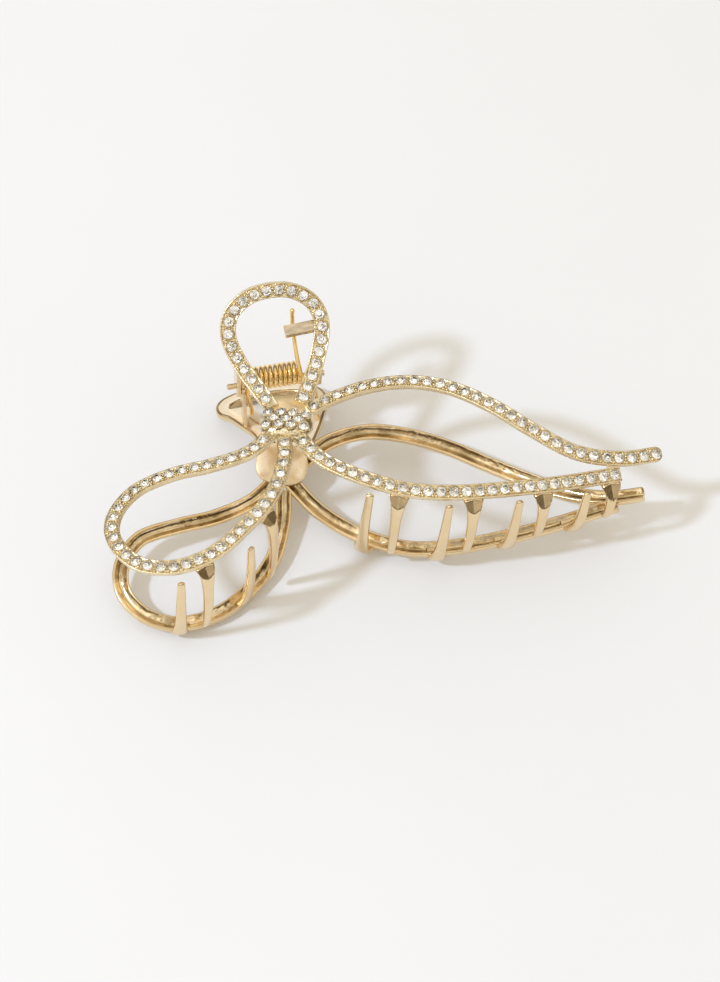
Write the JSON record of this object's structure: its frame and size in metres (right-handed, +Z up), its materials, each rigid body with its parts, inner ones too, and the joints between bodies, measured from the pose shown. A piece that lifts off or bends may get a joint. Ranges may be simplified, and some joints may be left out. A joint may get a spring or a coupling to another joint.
{
  "type": "rhinestone hair claw",
  "caption": "Gold bow-shaped hair claw: two sprung openwork jaws with interleaving teeth, thumb loops and crystal-set front bars.",
  "frame": {"origin": "on the surface that the clip lies on, under the middle of its footprint", "axes": "+Z up from the surface; +X along the hinge pin towards the long right-hand tail; +Y from the teeth towards the thumb loops. The clip lies on its back jaw"},
  "size_m": [0.1026, 0.0538, 0.037],
  "materials": {
    "pale_gold": "polished champagne gold plate, fine cast grain between the stones",
    "gold": "polished gold plate on a zinc casting",
    "pin_metal": "plated steel pin, cut ends",
    "spring_gold": "drawn spring wire, yellow gold plate",
    "crystal": "faceted, silver foil behind"
  },
  "bodies": {
    "back_jaw": {"back_handle_loop": "gold", "back_knot": "gold", "back_left_loop": "gold", "back_upper_bar": "gold", "back_lower_bar": "gold", "back_bridge": "gold", "back_web": "gold", "back_ear_left": "gold", "back_ear_right": "gold", "back_tooth_1": "gold", "back_tooth_2": "gold", "back_tooth_3": "gold", "back_tooth_4": "gold", "back_tooth_5": "gold", "back_tooth_6": "gold", "hinge_pin": "pin_metal", "torsion_spring": "spring_gold"},
    "front_jaw": {"front_handle_loop": "pale_gold", "front_knot": "pale_gold", "front_left_loop": "pale_gold", "front_upper_bar": "pale_gold", "front_lower_bar": "pale_gold", "front_bridge": "pale_gold", "front_web": "pale_gold", "spring_tab": "pale_gold", "front_ear_left": "pale_gold", "front_ear_right": "pale_gold", "front_tooth_1": "pale_gold", "front_tooth_2": "pale_gold", "front_tooth_3": "pale_gold", "front_tooth_4": "pale_gold", "front_tooth_5": "pale_gold", "front_tooth_6": "pale_gold", "handle_stones": "crystal", "knot_stones": "crystal", "left_stones": "crystal", "upper_stones": "crystal", "lower_stones": "crystal"}
  },
  "joints": [
    {"name": "jaw_hinge", "type": "hinge", "parent": "back_jaw", "child": "front_jaw", "pos_m": [-0.01569, 0.0174, 0.017], "axis": [-1, 0, 0], "range_deg": [0, 55], "stiffness_Nm_per_rad": 0.12, "springref_deg": -28.65, "deforming": ["torsion_spring"]}
  ]
}
